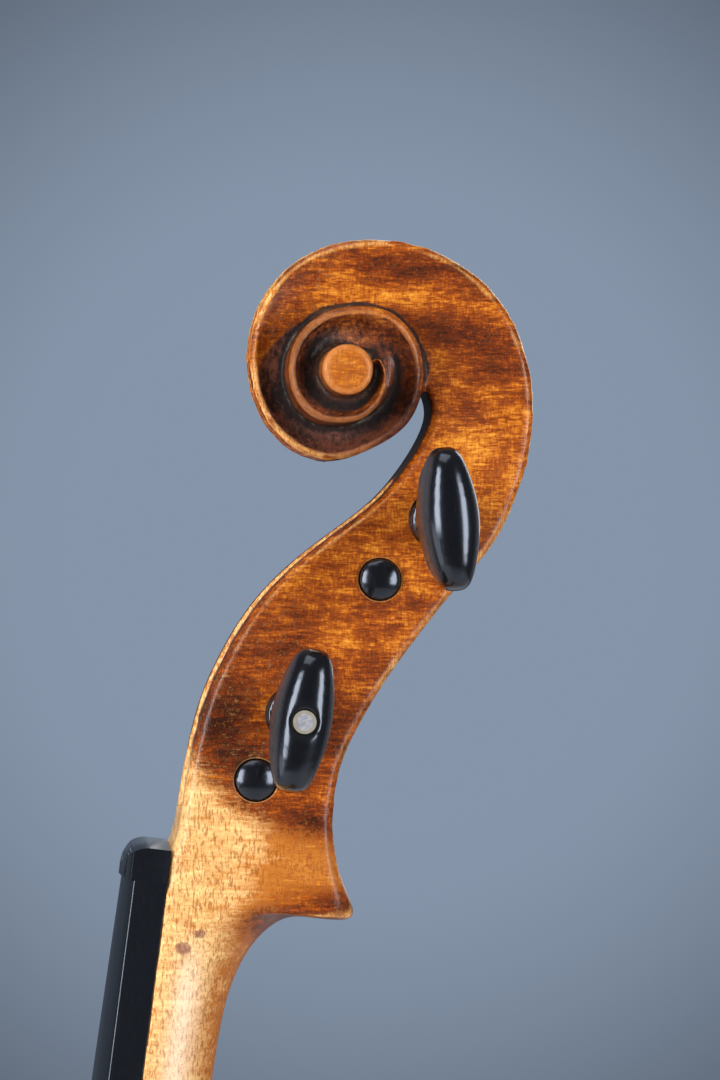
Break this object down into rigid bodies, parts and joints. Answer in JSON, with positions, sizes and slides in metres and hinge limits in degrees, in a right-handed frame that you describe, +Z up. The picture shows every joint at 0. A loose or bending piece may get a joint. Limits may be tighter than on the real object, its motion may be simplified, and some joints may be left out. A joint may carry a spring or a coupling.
{
  "type": "violin",
  "caption": "Unstrung violin with a carved scroll, four tuning pegs in an open pegbox, dark fingerboard and nut, and a hollow arched body with sound holes and edge inlay.",
  "frame": {"origin": "the throat under the scroll's volute, on the middle plane, where a hanger's hook bears", "axes": "+Z up, from the body to the scroll, along the body's length; -Y out of the belly (front); +X to the treble side, where the A and E peg heads are"},
  "size_m": [0.208, 0.099, 0.5987],
  "materials": {
    "maple_head": "worn golden brown varnish on figured maple",
    "maple_varnished": "golden brown varnish on flamed maple",
    "spruce_varnished": "golden brown varnish on straight grained spruce",
    "spruce_bare": "bare",
    "willow_bare": "bare",
    "purfling_dark": "varnished dark strip",
    "ebony_satin": "satin ebony",
    "ebony_polished": "polished ebony",
    "pearl": "polished shell",
    "horn_ring": "polished horn or metal ring"
  },
  "bodies": {
    "instrument": {"neck": "maple_head", "fingerboard": "ebony_satin", "nut": "ebony_satin", "belly": "spruce_varnished", "back": "maple_varnished", "belly_purfling_bass": "purfling_dark", "belly_purfling_treble": "purfling_dark", "back_purfling": "purfling_dark", "neck_block": "spruce_bare", "end_block": "spruce_bare", "sound_post": "spruce_bare", "saddle": "ebony_satin", "end_pin": "ebony_polished", "lower_rib_treble": "maple_varnished", "lower_rib_bass": "maple_varnished", "middle_rib_treble": "maple_varnished", "middle_rib_bass": "maple_varnished", "upper_rib_treble": "maple_varnished", "upper_rib_bass": "maple_varnished", "belly_lining_lower_treble": "willow_bare", "belly_lining_lower_bass": "willow_bare", "belly_lining_middle_treble": "willow_bare", "belly_lining_middle_bass": "willow_bare", "belly_lining_upper_treble": "willow_bare", "belly_lining_upper_bass": "willow_bare", "back_lining_lower_treble": "willow_bare", "back_lining_lower_bass": "willow_bare", "back_lining_middle_treble": "willow_bare", "back_lining_middle_bass": "willow_bare", "back_lining_upper_treble": "willow_bare", "back_lining_upper_bass": "willow_bare", "lower_corner_block_treble": "spruce_bare", "lower_corner_block_bass": "spruce_bare", "upper_corner_block_treble": "spruce_bare", "upper_corner_block_bass": "spruce_bare", "bass_bar": "spruce_bare"},
    "tuning_peg_g": {"peg_g": "ebony_polished"},
    "tuning_peg_d": {"peg_d": "ebony_polished"},
    "tuning_peg_a": {"peg_a": "ebony_polished"},
    "tuning_peg_e": {"peg_e": "ebony_polished", "peg_e_pearl": "pearl", "peg_e_pearl_ring": "horn_ring"}
  },
  "joints": [
    {"name": "peg_g_turn", "type": "hinge", "parent": "instrument", "child": "tuning_peg_g", "pos_m": [0, -0.02734, -0.05804], "axis": [-1, 0, 0], "continuous": true},
    {"name": "peg_d_turn", "type": "hinge", "parent": "instrument", "child": "tuning_peg_d", "pos_m": [0, -0.00786, -0.02559], "axis": [-1, 0, 0], "continuous": true},
    {"name": "peg_a_turn", "type": "hinge", "parent": "instrument", "child": "tuning_peg_a", "pos_m": [0, 0.00097, -0.0158], "axis": [1, 0, 0], "continuous": true},
    {"name": "peg_e_turn", "type": "hinge", "parent": "instrument", "child": "tuning_peg_e", "pos_m": [0, -0.02153, -0.04732], "axis": [1, 0, 0], "continuous": true}
  ]
}
